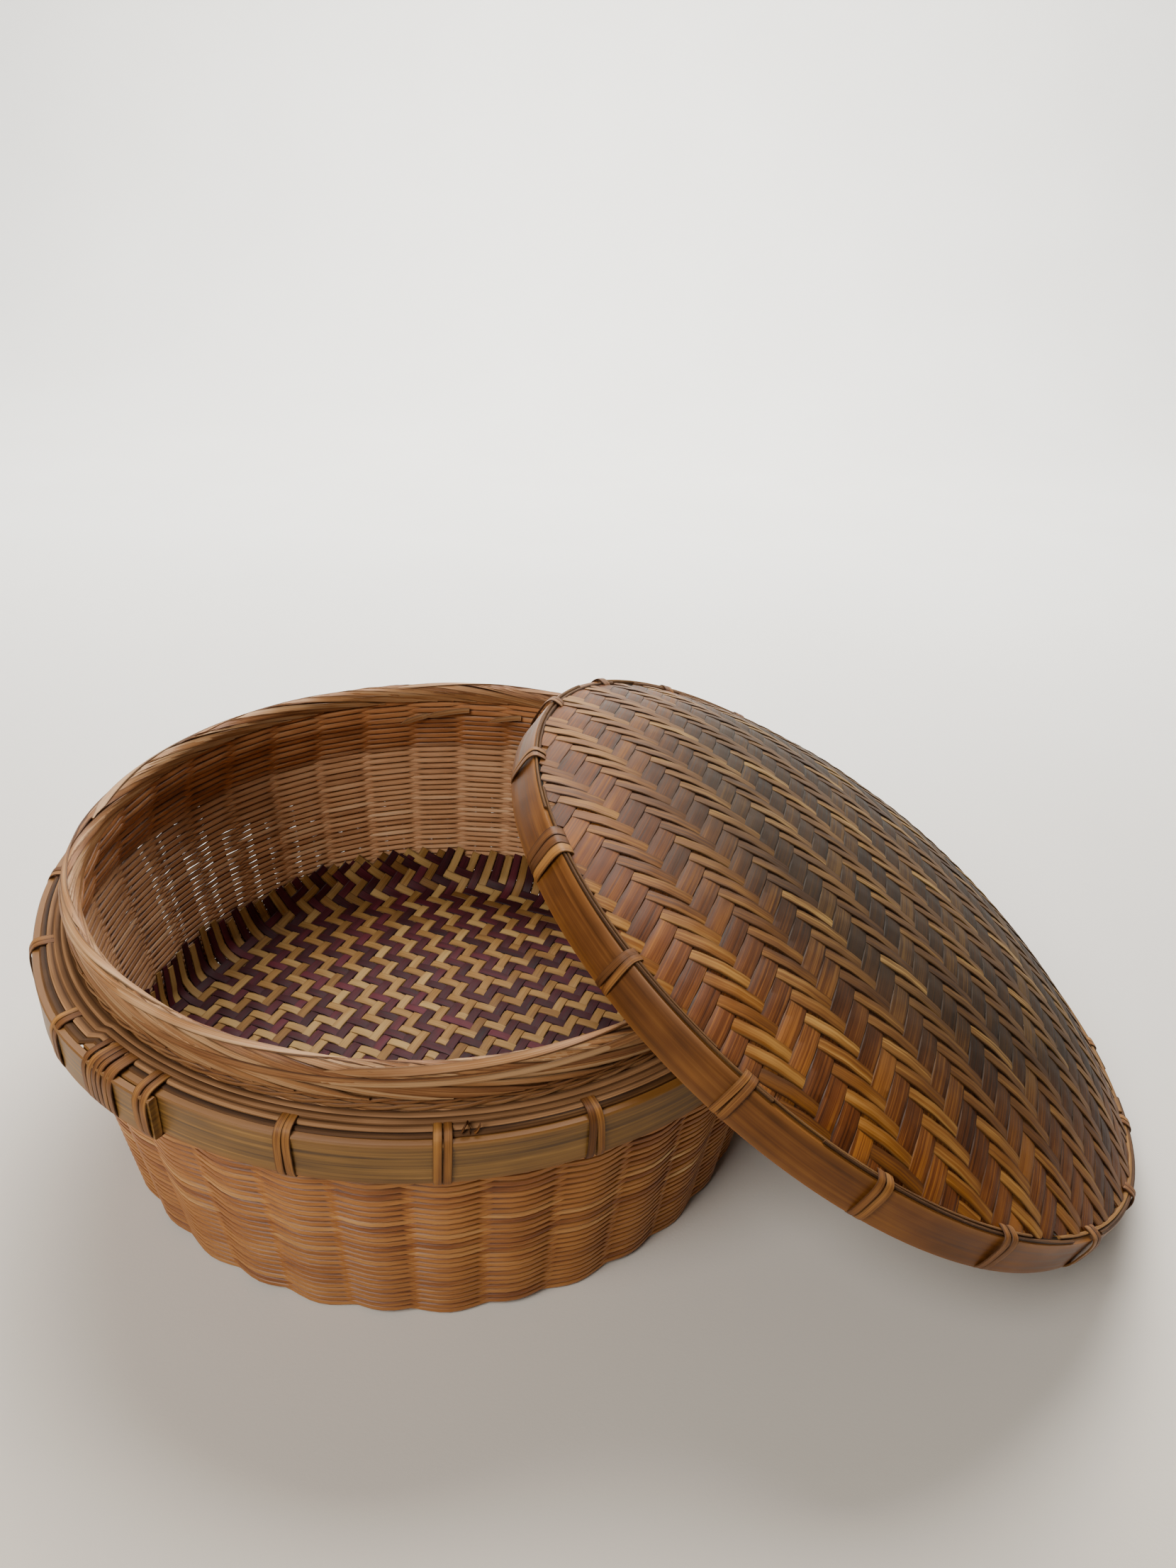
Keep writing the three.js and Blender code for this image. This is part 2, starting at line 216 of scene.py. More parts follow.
def cane(name, stops, inner=None, fibre=0.5, patch=0.35, rough=0.5, dust=0.0,
         depth=0.1 * MM, edge=None, lines=4.5, polished_and_sheen=None, gloss=0.4, groove=6.0):
    """Split cane: fibres run along each strip, and every strip has a tone of its own.

    stops are its colours from dark to pale, and inner those of its side facing inwards.
    polished gives the colours of a brighter, more orange coat: partly the shine of handling,
    partly painted sheen.  edge is the colour along its two edges: where darker than the cane it
    is painted shade in the grooves between strips; on the bamboo band and hoop it is paler.
    fibre and patch are how much the tone changes across the fibres and along the strip.
    """
    made = Shader(name)
    along, across, outward = made.split(made.attribute("grain").outputs["Vector"])
    tone = made.attribute("tone").outputs["Fac"]
    seed = made.math("MULTIPLY", tone, SEED_SPREAD)
    streak = made.noise(made.join(made.math("MULTIPLY", along, STREAK_RATE),
                                  made.math("MULTIPLY", across, lines), seed), detail=5.0)
    slow = made.noise(made.join(made.math("MULTIPLY", along, PATCH_RATE),
                                made.math("MULTIPLY", across, 0.5), seed), detail=2.0)
    change = made.math("ADD", made.range(streak, 0.3, 0.7, -fibre / 2, fibre / 2),
                       made.range(slow, 0.3, 0.7, -patch / 2, patch / 2))
    shade = made.math("ADD", tone, change)
    colour = made.ramp(shade, stops)
    if inner:
        colour = made.blend(made.range(outward, -0.1, -0.7), colour, made.ramp(shade, inner))
    roughness = made.range(streak, 0.2, 0.8, rough - 0.08, rough + 0.16)
    # Brighter, more orange colour and less roughness where the lid's mask is high. The roughness is
    # handling shine. The colour is partly handling shine and partly painted sheen.
    if polished_and_sheen:
        polish_and_sheen = made.attribute("polish_and_sheen").outputs["Fac"]
        colour = made.blend(polish_and_sheen, colour, made.ramp(shade, polished_and_sheen))
        gain = made.math("MULTIPLY", polish_and_sheen, POLISH_GAIN)
        roughness = made.math("SUBTRACT", roughness, gain)
    # Edge colour at both edges of each strip: where darker than the cane, painted shade in the
    # grooves between strips; the bamboo band and hoop get a paler edge.
    rim = made.math("POWER", made.math("ABSOLUTE", across), groove)
    colour = made.blend(made.math("MULTIPLY", rim, EDGE_SHARE), colour, rgb(edge or stops[0][1]))
    place = made.node("ShaderNodeTexCoord", {}).outputs["Object"]
    grime = made.noise(place, GRIME_RATE, 5.0)
    if dust:
        up = made.split(made.node("ShaderNodeNewGeometry", {}).outputs["Normal"])[2]
        cover = made.math("MULTIPLY", made.range(grime, 0.35, 0.7, 0.2, 1.0),
                          made.range(up, 0.6, 0.98, 0.0, dust))
        colour = made.blend(cover, colour, rgb(DUST))
    colour = made.blend(made.range(grime, 0.56, 0.72, 0.0, 0.16), colour, rgb(GRIME))
    made.surface.inputs["Specular IOR Level"].default_value = gloss
    return made.finish(colour, roughness, streak, depth)


# Edge colours darker than their cane are painted shade in the grooves between strips; the band's
# and the hoop's edges are paler.
MATERIALS = {
    "wall": cane("wall_cane", [(0.0, "48240b"), (0.3, "844a19"), (0.6, "ab6f31"),
                               (0.85, "bc864a"), (1.0, "d5af7a")],
                 inner=[(0.0, "744b2c"), (0.5, "ba8a62"), (1.0, "d5ae87")],
                 fibre=0.3, patch=0.3, rough=0.44, edge="371a07", groove=3.5),
    "upper": cane("upper_wall_cane", [(0.0, "6a3d1a"), (0.5, "b37c4b"), (1.0, "d6a676")],
                  inner=[(0.0, "70401c"), (0.5, "b37646"), (1.0, "d8a574")],
                  fibre=0.3, rough=0.5, edge="45230d", groove=3.5),
    # The stake's outer face is painted dark: painted shade for the deep gaps between wefts where it
    # shows. Its inner face is its own orange.
    "stake": cane("stake_strip_painted_shade_outside", [(0.0, "2a1506"), (0.5, "46260d"), (1.0, "653a18")],
                  inner=[(0.0, "74400f"), (0.5, "a26026"), (1.0, "bd8446")], rough=0.55),
    "rim": cane("rim_splint", [(0.0, "4c2a12"), (0.35, "794d2d"), (0.7, "996b41"),
                               (1.0, "af8961")], fibre=0.5, rough=0.5, gloss=0.22, edge="321808",
                groove=3.5),
    "core": cane("shaded_core", [(0.0, "3a1f0c"), (1.0, "66401f")], rough=0.8),
    "straw": cane("straw_strip", [(0.0, "60401a"), (0.45, "805d2e"), (1.0, "9c7e4c")],
                  fibre=0.4, rough=0.6, edge="462b0f", gloss=0.25),
    "maroon": cane("maroon_strip", [(0.0, "1b0407"), (0.5, "360c13"), (1.0, "511a24")],
                   fibre=0.45, rough=0.6, edge="110204", gloss=0.25),
    "base": cane("base_strip", [(0.0, "6b4420"), (0.6, "a87c4a"), (1.0, "cba66f")]),
    "band": cane("bamboo_band", [(0.0, "39250d"), (0.4, "65471e"), (0.75, "7f5b29"),
                                 (1.0, "99733a")],
                 inner=[(0.0, "835726"), (1.0, "b38748")], fibre=0.8, patch=0.2, rough=0.42,
                 edge="764c20", depth=0.05 * MM, lines=8.0),
    "pale": cane("pale_cane", [(0.0, "5f3e22"), (0.5, "8c6440"), (1.0, "b08258")], rough=0.65,
                 groove=3.5, edge="341d0c", gloss=0.2),
    "dark": cane("dark_cane", [(0.0, "2c1a0d"), (0.6, "5c3c1f"), (1.0, "8d6638")], rough=0.6,
                 edge="1d1007", groove=3.5, gloss=0.2),
    "lashing": cane("lashing_cane", [(0.0, "3c200b"), (0.5, "6c421d"), (1.0, "a06e34")],
                    rough=0.5, depth=0.06 * MM, edge="2a1506", groove=4.0, gloss=0.25),
    # Both lid materials' polished stops: a brighter, more orange coat near the hoop, partly shine
    # from handling and partly painted sheen.
    "lid_brown": cane("lid_broad_strip", [(0.0, "130a03"), (0.4, "251609"), (0.75, "36220e"),
                                          (1.0, "4f381a")],
                      fibre=0.75, patch=0.4, rough=0.62, dust=0.16, lines=6.0, gloss=0.13,
                      polished_and_sheen=[(0.0, "331503"), (0.5, "5b2e0c"), (1.0, "86501b")],
                      edge="0c0601", groove=7.0),
    "lid_gold": cane("lid_narrow_strip", [(0.0, "2a1709"), (0.4, "452c12"), (0.75, "5e411d"),
                                          (1.0, "8e6f3c")],
                     fibre=0.6, patch=0.4, rough=0.6, dust=0.16, gloss=0.13, lines=3.0,
                     polished_and_sheen=[(0.0, "4b280b"), (0.5, "734413"), (1.0, "9c6f33")],
                     edge="1b0d03", groove=5.0),
    "hoop": cane("hoop_bamboo", [(0.0, "351c08"), (0.45, "5d3511"), (1.0, "7f5020")],
                 inner=[(0.0, "7a5024"), (1.0, "aa8044")], fibre=0.5, patch=0.45, rough=0.4,
                 edge="835426", depth=0.04 * MM, lines=6.0, gloss=0.25),
}


# ---- strips -------------------------------------------------------------------------------

# Sections of a strip, as shares of its half width and half thickness.
ROUND = np.array([(-1, 0), (-0.72, 0.75), (0, 1), (0.72, 0.75), (1, 0), (0.72, -0.75),
                  (0, -1), (-0.72, -0.75)], float)
FLAT = np.array([(-1, -0.2), (-0.88, 0.75), (0, 1), (0.88, 0.75), (1, -0.2), (0.88, -1),
                 (-0.88, -1)], float)
SHARP = math.radians(32)


class Strips:
    """Gathers strips of cane into one mesh, with their grain and tone."""

    def __init__(self, section=FLAT):
        self.section = section
        self.points = []
        self.faces = []
        self.grain = []
        self.tone = []
        self.polish_and_sheen = None
        self.count = 0

    def add(self, stations, along, tone, closed=False):
        """stations holds, for every step along the strip, its section's corners in space.

        The ends of a closed strip meet, so it has no end faces.
        """
        steps, sides = stations.shape[:2]
        index = self.count + np.arange(steps * sides).reshape(steps, sides)
        turned = np.roll(index, -1, axis=1)
        quads = np.stack([index[:-1], turned[:-1], turned[1:], index[1:]], -1)
        self.faces.extend(quads.reshape(-1, 4).tolist())
        if not closed:
            self.faces.append(index[0][::-1].tolist())
            self.faces.append(index[-1].tolist())
        self.points.append(stations.reshape(-1, 3))
        grain = np.empty((steps, sides, 3))
        grain[..., 0] = along[:, None]
        grain[..., 1:] = self.section
        self.grain.append(grain.reshape(-1, 3))
        self.tone.append(np.full(steps * sides, tone))
        self.count += steps * sides

    def sweep(self, centre, across, outward, tone, closed=False):
        """A strip along centre, with its half width and half thickness as vectors."""
        stations = (centre[:, None] + self.section[None, :, :1] * across[:, None]
                    + self.section[None, :, 1:] * outward[:, None])
        steps = np.linalg.norm(np.diff(centre, axis=0), axis=1)
        self.add(stations, np.concatenate([[0.0], np.cumsum(steps)]), tone, closed)

    def build(self, name, material, body, nodes, slot):
        """Makes the piece, which rides on a body and stands for the CAD nodes given."""
        mesh = bpy.data.meshes.new(name)
        mesh.from_pydata(np.concatenate(self.points).tolist(), [], self.faces)
        grain = mesh.attributes.new("grain", "FLOAT_VECTOR", "POINT")
        grain.data.foreach_set("vector", np.concatenate(self.grain).ravel())
        tone = mesh.attributes.new("tone", "FLOAT", "POINT")
        tone.data.foreach_set("value", np.concatenate(self.tone))
        # The lid's mask of handling shine and painted sheen, where the pieces have one.
        if self.polish_and_sheen is not None:
            polish_and_sheen = mesh.attributes.new("polish_and_sheen", "FLOAT", "POINT")
            polish_and_sheen.data.foreach_set("value", self.polish_and_sheen)
        mesh.polygons.foreach_set("use_smooth", [True] * len(mesh.polygons))
        mesh.set_sharp_from_angle(angle=SHARP)
        mesh.materials.append(MATERIALS[material])
        mesh.validate()
        piece = bpy.data.objects.new(name, mesh)
        bpy.context.scene.collection.objects.link(piece)
        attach(piece, body)
        if nodes:
            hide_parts(*nodes)


def on_lid(strips):
    """Moves gathered strips from the lid's own frame to where the lid leans."""
    strips.points = [lid_points(points) for points in strips.points]
    return strips


def polar(radius, angle, height):
    """Points, or directions, from their parts outwards and upwards at an angle."""
    radius, angle, height = np.broadcast_arrays(radius, angle, height)
    return np.stack([radius * np.cos(angle), radius * np.sin(angle), height], -1)


def wobble(angle, seed, size):
    """A slow, seamless wander round a ring."""
    phases = np.random.default_rng(seed).uniform(0, TURN, 4)
    return size * sum(np.sin((k + 2) * angle + p) / (k + 1.5) for k, p in enumerate(phases))


# ---- basket -------------------------------------------------------------------------------

SHOULDER = 4.6 * MM
SHOULDER_HEIGHT = 97.0 * MM
SHOULDER_REACH = 5.2 * MM
FRONT = math.radians(262)


def wall_middle(height, angle=FRONT):
    """The wall's middle radius, with a soft shoulder behind the band, fullest at the front."""
    full = SHOULDER * (0.6 + 0.4 * np.cos(angle - FRONT))
    shoulder = full * np.exp(-((height - SHOULDER_HEIGHT) / SHOULDER_REACH) ** 2)
    return np.interp(height, WALL_Z, (WALL_OUT + WALL_IN) / 2) + shoulder


def wall_half(height):
    """Half the wall's thickness."""
    return np.interp(height, WALL_Z, (WALL_OUT - WALL_IN) / 2)


def wall_slope(height, angle):
    """How fast the wall's radius grows with height."""
    reach = 1.0 * MM
    rise = wall_middle(height + reach, angle) - wall_middle(height - reach, angle)
    return rise / (2 * reach)


CANE_HALF = 0.78 * MM
FINE_PITCH = 1.4 * MM
LOOSE_PITCH = 1.6 * MM
UPPER_PITCH = 1.6 * MM
FIRST_CANE = 1.1 * MM
FINE_TOP = 63 * MM
FLUTE = 0.25 * MM
CANE_FILL = 0.95
CROSSING_FILL = 0.68
SLACK = 0.42
SLACK_SIDE = math.radians(166)
SLACK_SPREAD = math.radians(27)
SLACK_HEIGHT = 48 * MM
SLACK_REACH = 31 * MM
SAMPLES_PER_STAKE = 6


def looseness(angle, level):
    """From 0 to 1, how far the canes have slackened: on one side, halfway up."""
    turn = np.abs((angle - SLACK_SIDE + math.pi) % TURN - math.pi)
    side = np.exp(-(turn / SLACK_SPREAD) ** 4)
    return side * np.exp(-((level - SLACK_HEIGHT) / SLACK_REACH) ** 4)


def add_weft(strips, height, row, pitch, tone):
    """One cane woven in front of every other stake, thinner where neighbours cross."""
    angle = np.linspace(0, TURN, STAKES * SAMPLES_PER_STAKE + 1)
    wave = (-1) ** row * np.cos(STAKES / 2 * angle)
    level = height + wobble(angle, 5, 0.3 * MM) + wobble(angle, 100 + row, 0.09 * MM)
    slope = wall_slope(level, angle)
    flute = FLUTE * np.cos(STAKES * angle) * np.interp(level, [BAND_LOW, WALL_TOP], [1, 0.4])
    radius = wall_middle(level, angle) + (wall_half(level) - CANE_HALF) * wave + flute
    crossing = (1 - wave ** 2) ** 4
    slack = SLACK * looseness(angle, level) * crossing
    half = pitch * (CANE_FILL - (CANE_FILL - CROSSING_FILL) * crossing) * (1 - slack)
    across = polar(slope, angle, 1.0) * half[:, None]
    outward = polar(1.0, angle, -slope) * (CANE_HALF / np.hypot(slope, 1))[:, None]
    strips.sweep(polar(radius, angle, level), across, outward, tone, closed=True)


def weft_tone():
    """Most canes are much alike; a few are paler or darker."""
    pick = rng.random()
    if pick < 0.03:
        return 0.8
    if pick < 0.08:
        return 0.34
    return rng.normal(0.52, 0.05)


def wall_wefts():
    """The canes woven round the stakes: fine ones low down, thicker ones above."""
    bands = [("wall_weft_fine", FIRST_CANE, FINE_TOP, FINE_PITCH, "wall"),
             ("wall_weft_loose", FINE_TOP, BAND_LOW, LOOSE_PITCH, "wall"),
             ("wall_weft_upper", BAND_LOW, WALL_TOP, UPPER_PITCH, "upper")]
    row = 0
    for name, low, high, pitch, material in bands:
        strips = Strips(ROUND)
        count = round((high - low) / pitch)
        for step in range(count):
            height = low + (step + 0.5) * (high - low) / count
            add_weft(strips, height, row, pitch, weft_tone())
            row += 1
        nodes = ["wall_weave"] if name == "wall_weft_fine" else []
        strips.build(name, material, "basket", nodes, "weft")


STAKE_HALF = 4.0 * MM
STAKE_THICK = 0.42 * MM
STAKE_INSET = 0.8 * MM


def stakes():
    """The flat upright stakes inside the weave."""
    strips = Strips(FLAT)
    heights = np.linspace(STAKE_INSET, WALL_TOP - STAKE_INSET, 30)
    for index in range(STAKES):
        angle = TURN * index / STAKES
        slope = wall_slope(heights, angle)
        side = np.array([-math.sin(angle), math.cos(angle), 0.0]) * STAKE_HALF
        outward = polar(1.0, angle, -slope) * (STAKE_THICK / np.hypot(slope, 1))[:, None]
        centre = polar(wall_middle(heights, angle), angle, heights)
        strips.sweep(centre, np.tile(side, (len(heights), 1)), outward, rng.uniform(0.2, 0.8))
    strips.build("stakes", "stake", "basket", ["base_and_stakes"], "stake")


def woven_lift(position, sides):
    """Height of a strip at positions counted in crossings, easing from one to the next."""
    cell = np.floor(position - 0.5).astype(int)
    share = position - 0.5 - cell
    ease = share * share * (3 - 2 * share)
    first = np.clip(cell, 0, len(sides) - 1)
    second = np.clip(cell + 1, 0, len(sides) - 1)
    return sides[first] * (1 - ease) + sides[second] * ease


def strip_tone():
    """Plaited strips vary widely, and a few are pale."""
    return 0.95 if rng.random() < 0.06 else np.clip(rng.normal(0.5, 0.16), 0.05, 0.85)


CANE_FLAT = 0.33 * MM


class Weave(NamedTuple):
    """Two crossing sets of strips: each pair is the first set's value and the second's.

    halves are half widths, lifts how far a strip rises and dips, samples the steps for each
    crossing, taper how much a strip narrows as it dips, and stray how far it lies from its
    place, in pitches.
    """
    pitches: tuple
    counts: tuple
    halves: tuple
    lifts: tuple
    samples: int = 2
    taper: tuple = (0.0, 0.0)
    stray: tuple = (0.02, 0.02)


def plait(weave, gathered, surface, turn, over, reach):
    """Lays a weave on a surface.  gathered(set, index) names the mesh that a strip joins.

    over(first, second) is above 0 where the first set's strip is on top, and reach(offset) is
    how far a strip goes each way.
    """
    axes = [np.array([math.cos(turn), math.sin(turn)]),
            np.array([-math.sin(turn), math.cos(turn)])]
    for which in (0, 1):
        pitch, other = weave.pitches[which], weave.pitches[1 - which]
        count, crossed = weave.counts[which], weave.counts[1 - which]
        taper = weave.taper[which]
        for index in range(count):
            offset = (index + 0.5 - count / 2 + rng.normal(0, weave.stray[which])) * pitch
            low, high = reach(offset)
            if high - low < 4 * pitch:
                continue
            steps = max(int((high - low) / other * weave.samples), 4)
            along = np.linspace(low, high, steps)
            cells = np.arange(crossed)
            sides = over(index, cells) if which == 0 else -over(cells, index)
            rise = woven_lift(along / other + crossed / 2, sides)
            strips = gathered(which, index)
            narrow = weave.halves[which] * (1 - taper * (1 - np.clip(rise, -1, 1)) / 2)
            narrow *= 1 - taper * rng.random()
            width = narrow[:, None] * strips.section[None, :, 0]
            flat = (along[:, None, None] * axes[which]
                    + (offset + width)[:, :, None] * axes[1 - which])
            height = rise[:, None] * weave.lifts[which] + CANE_FLAT * strips.section[None, :, 1]
            strips.add(surface(flat[..., 0], flat[..., 1], height), along, strip_tone())


MAT_LIFT = 0.8 * MM
MAT_BEND = 9 * MM
MAT_GAP = 1.3 * MM
MAT_SPARE = 12 * MM


def dish_table():
    """The mat's middle surface as arc length, radius and height, out from its centre."""
    level = MAT_LOW + MAT_LIFT
    foot = np.interp(MAT_LOW + MAT_BEND, WALL_Z, WALL_IN) - MAT_GAP
    turn = np.linspace(0, math.pi / 2, 12)
    heights = np.linspace(level + MAT_BEND, MAT_HIGH + MAT_SPARE, 14)[1:]
    wall = np.interp(heights, WALL_Z, WALL_IN) - MAT_GAP
    radius = np.concatenate([[0.0], foot - MAT_BEND + MAT_BEND * np.sin(turn), wall])
    height = np.concatenate([[level], level + MAT_BEND * (1 - np.cos(turn)), heights])
    length = np.concatenate([[0.0], np.cumsum(np.hypot(np.diff(radius), np.diff(height)))])
    return length, radius, height


DISH = dish_table()


def dish(u, v, lift):
    """A point on the mat, from flat coordinates measured along it and a height off it."""
    length, radius, height = DISH
    arc = np.hypot(u, v)
    angle = np.arctan2(v, u)
    step = 0.5 * MM
    r, z = np.interp(arc, length, radius), np.interp(arc, length, height)
    dr = np.interp(arc + step, length, radius) - np.interp(arc - step, length, radius)
    dz = np.interp(arc + step, length, height) - np.interp(arc - step, length, height)
    size = np.maximum(np.hypot(dr, dz), 1e-9)
    return polar(r - lift * dz / size, angle, z + lift * dr / size)


MAT_PITCH = 4.8 * MM
MAT_HALF = 2.3 * MM
MAT_RISE = 0.42 * MM
MAT_STRIPS = 56
MAT_WOVEN = 0.84
MAT_TURN = math.radians(-19)


def base_mat():
    """The patterned mat: a twill whose diagonals turn back at both middle lines."""
    colours = [Strips(), Strips()]
    middle = (MAT_STRIPS - 1) // 2
    edge = np.interp(MAT_HIGH, DISH[2], DISH[0])

    def over(first, second):
        step = (np.abs(first - middle) + np.abs(second - middle)) % 4
        return np.where(step < 2, 1.0, -1.0)

    def reach(offset):
        kept = abs(offset) < MAT_WOVEN * edge
        half = math.sqrt(max(edge ** 2 - offset ** 2, 0.0)) if kept else 0.0
        return -half - rng.uniform(-4, 3) * MM, half + rng.uniform(-4, 3) * MM

    weave = Weave(pitches=(MAT_PITCH, MAT_PITCH), counts=(MAT_STRIPS, MAT_STRIPS),
                  halves=(MAT_HALF, MAT_HALF), lifts=(MAT_RISE, MAT_RISE))
    plait(weave, lambda which, index: colours[(index + which) % 2], dish, MAT_TURN, over, reach)
    colours[0].build("mat_straw_strips", "straw", "basket", ["base_mat"], "mat")
    colours[1].build("mat_maroon_strips", "maroon", "basket", [], "mat")


BASE_PITCH = 9 * MM
BASE_HALF = 4.3 * MM
BASE_RISE = 0.4 * MM
BASE_STRIPS = 28
BASE_LEVEL = 0.9 * MM
BASE_GAP = 1.5 * MM
BASE_TURN = 0.3


def base_underlay():
    """The plain layer under the mat, which the basket stands on."""
    radius = WALL_IN[0] - BASE_GAP
    strips = Strips()

    def flat(u, v, lift):
        size = np.hypot(u, v)
        shrink = np.minimum(radius / np.maximum(size, 1e-9), 1.0)
        return np.stack([u * shrink, v * shrink, BASE_LEVEL + lift], -1)

    def over(first, second):
        return np.where((first + second) % 2, 1.0, -1.0)

    def reach(offset):
        half = math.sqrt(max(radius ** 2 - offset ** 2, 0.0))
        return -half, half

    weave = Weave(pitches=(BASE_PITCH, BASE_PITCH), counts=(BASE_STRIPS, BASE_STRIPS),
                  halves=(BASE_HALF, BASE_HALF), lifts=(BASE_RISE, BASE_RISE))
    plait(weave, lambda which, index: strips, flat, BASE_TURN, over, reach)
    strips.build("base_underlay", "base", "basket", [], "stake")


def rim_path(share):
    """The rolled rim's section: from inside the wall, over the top and down the outside."""
    inside = wall_middle(WALL_TOP) - wall_half(WALL_TOP) + 0.3 * MM
    outside = RIM_OUTER - 0.7 * MM
    knots = np.array([[inside, WALL_TOP - 4 * MM], [inside - 0.2 * MM, WALL_TOP + 1 * MM],
                      [inside + 1.0 * MM, RIM_HIGH - 1.5 * MM],
                      [(inside + outside) / 2, RIM_HIGH - 0.6 * MM],
                      [outside - 0.6 * MM, RIM_HIGH - 2.0 * MM],
                      [outside, RIM_HIGH - 5 * MM], [outside, RIM_LOW]])
    length = np.concatenate([[0.0], np.cumsum(np.hypot(*np.diff(knots, axis=0).T))])
    at = share * length[-1]
    step = 0.8 * MM
    before = np.stack([np.interp(at - step, length, knots[:, k]) for k in (0, 1)], -1)
    after = np.stack([np.interp(at + step, length, knots[:, k]) for k in (0, 1)], -1)
    tangent = after - before
    tangent /= np.linalg.norm(tangent, axis=-1, keepdims=True)
    return (before + after) / 2, tangent


SPLINT_THICK = 0.42 * MM
SPLINT_RATE = 40


def add_splint(strips, start, span, shares, half, lift, tone):
    """A splint laid along the rim while it moves from one share of its section to another."""
    steps = max(int(span * SPLINT_RATE), 8)
    run = np.linspace(0, 1, steps)
    angle = start + span * run
    place, tangent = rim_path(shares[0] + (shares[1] - shares[0]) * run)
    taper = np.clip(np.minimum(run, 1 - run) * 14, 0.25, 1.0)
    normal = np.stack([tangent[:, 1], -tangent[:, 0]], -1)
    away = place - place.mean(0) + [0, 2 * MM]
    normal *= np.sign((normal * away).sum(1, keepdims=True))
    place = place + normal * (lift * (0.4 + 0.6 * np.sin(math.pi * run)))[:, None]
    across = polar(tangent[:, 0], angle, tangent[:, 1]) * (half * taper)[:, None]
    outward = polar(normal[:, 0], angle, normal[:, 1]) * SPLINT_THICK
    strips.sweep(polar(place[:, 0], angle, place[:, 1]), across, outward, tone)


CORE_STEPS = 241
CORE_HALF_HEIGHT = 5.0 * MM
CORE_HALF_WIDTH = 2.2 * MM
CORE_DROP = 6.2 * MM
ROLLED_SPLINTS = 72
STRAY_SPLINTS = 20


def rim():
    """A shaded core under splints that roll over the edge, with a few straying across them."""
    core = Strips(ROUND)
    angle = np.linspace(0, TURN, CORE_STEPS)
    middle = (wall_middle(WALL_TOP) + RIM_OUTER) / 2 - 1.0 * MM
    core.sweep(polar(middle, angle, RIM_HIGH - CORE_DROP),
               np.tile([0, 0, CORE_HALF_HEIGHT], (CORE_STEPS, 1)),
               polar(CORE_HALF_WIDTH, angle, 0.0), 0.4, closed=True)
    core.build("rim_core", "core", "basket", [], "rim")
    strips = Strips(FLAT)
    for index in range(ROLLED_SPLINTS):
        start = TURN * (index + rng.uniform(-0.3, 0.3)) / ROLLED_SPLINTS
        add_splint(strips, start, rng.uniform(1.1, 1.4), (0.0, 1.0), rng.uniform(1.2, 1.6) * MM,
                   rng.uniform(0.0, 0.3) * MM, rng.uniform(0.35, 0.95))
    for index in range(STRAY_SPLINTS):
        start = TURN * (index + rng.uniform(-0.3, 0.3)) / STRAY_SPLINTS
        low = rng.uniform(0.55, 0.8)
        add_splint(strips, start, rng.uniform(0.7, 1.1), (low, low - rng.uniform(0.15, 0.35)),
                   rng.uniform(1.1, 1.6) * MM, rng.uniform(0.5, 0.8) * MM,
                   rng.uniform(0.45, 1.0))
    strips.build("rim_splints", "rim", "basket", ["rim_roll"], "rim")


BRAID_ROWS = 3
BRAID_STEPS = STAKES * 25 + 1
BRAID_RISE = 0.62 * MM
STRAND_HALF_HEIGHT = 0.72 * MM
STRAND_HALF_WIDTH = 0.45 * MM


def braid():
    """Rows of two strands twisted round each other, one above another."""
    strips = Strips(ROUND)
    pitch = (RIM_LOW - BRAID_LOW) / (BRAID_ROWS - 0.6)
    angle = np.linspace(0, TURN, BRAID_STEPS)
    for row in range(BRAID_ROWS):
        level = BRAID_LOW + (row - 0.15) * pitch
        base = wall_middle(level, angle) + wall_half(level) + 0.7 * MM
        for strand in (0, 1):
            twist = angle * STAKES + math.pi * strand + row * 1.3
            height = level + BRAID_RISE * np.sin(twist)
            strips.sweep(polar(base + STRAND_HALF_WIDTH * np.cos(twist), angle, height),
                         np.tile([0, 0, STRAND_HALF_HEIGHT], (BRAID_STEPS, 1)),
                         polar(STRAND_HALF_WIDTH, angle, 0.0), rng.uniform(0.4, 0.8),
                         closed=True)
    strips.build("rim_braid_rows", "rim", "basket", ["rim_braid"], "rim")


LAP_START = math.radians(231)
LAP_LENGTH = math.radians(14)
LAP_RAMP = math.radians(32)
BAND_THICKNESS = 3 * MM
BAND_INNER = ring_profile("ledge_band")[2].min()
CLEARANCE = 0.4 * MM


def lap_climb(along):
    """How far out the band has climbed, at an angle along it from its start."""
    share = (along - (TURN - LAP_RAMP)) / (LAP_RAMP - math.radians(2))
    ease = np.clip(share, 0, 1)
    return ease * ease * (3 - 2 * ease) * (BAND_THICKNESS + CLEARANCE)


BAND_SECTION = np.array([(-1, -0.75), (-1, 0.7), (-0.93, 1), (-0.4, 0.94), (0.4, 0.96), (0.93, 1),
                         (1, 0.7), (1, -0.75), (0.9, -1), (0.3, -1), (-0.3, -1), (-0.9, -1)])


BAND_STEPS = 320


def ledge_band():
    """The bent bamboo band: its far end climbs over its start, and laps it."""
    strips = Strips(BAND_SECTION)
    along = np.linspace(0, TURN + LAP_LENGTH, BAND_STEPS)
    angle = LAP_START + along
    radius = BAND_INNER + BAND_THICKNESS / 2 + lap_climb(along)
    middle = (BAND_LOW + BAND_HIGH) / 2 + wobble(angle, 3, 0.12 * MM)
    half = (BAND_HIGH - BAND_LOW) / 2 - 0.2 * MM
    strips.sweep(polar(radius, angle, middle), np.tile([0, 0, half], (BAND_STEPS, 1)),
                 polar(BAND_THICKNESS / 2, angle, 0.0), 0.55)
    strips.build("ledge_bamboo_band", "band", "basket", ["ledge_band"], "band")


LEDGE_CANES = 4
RING_STEPS = 301


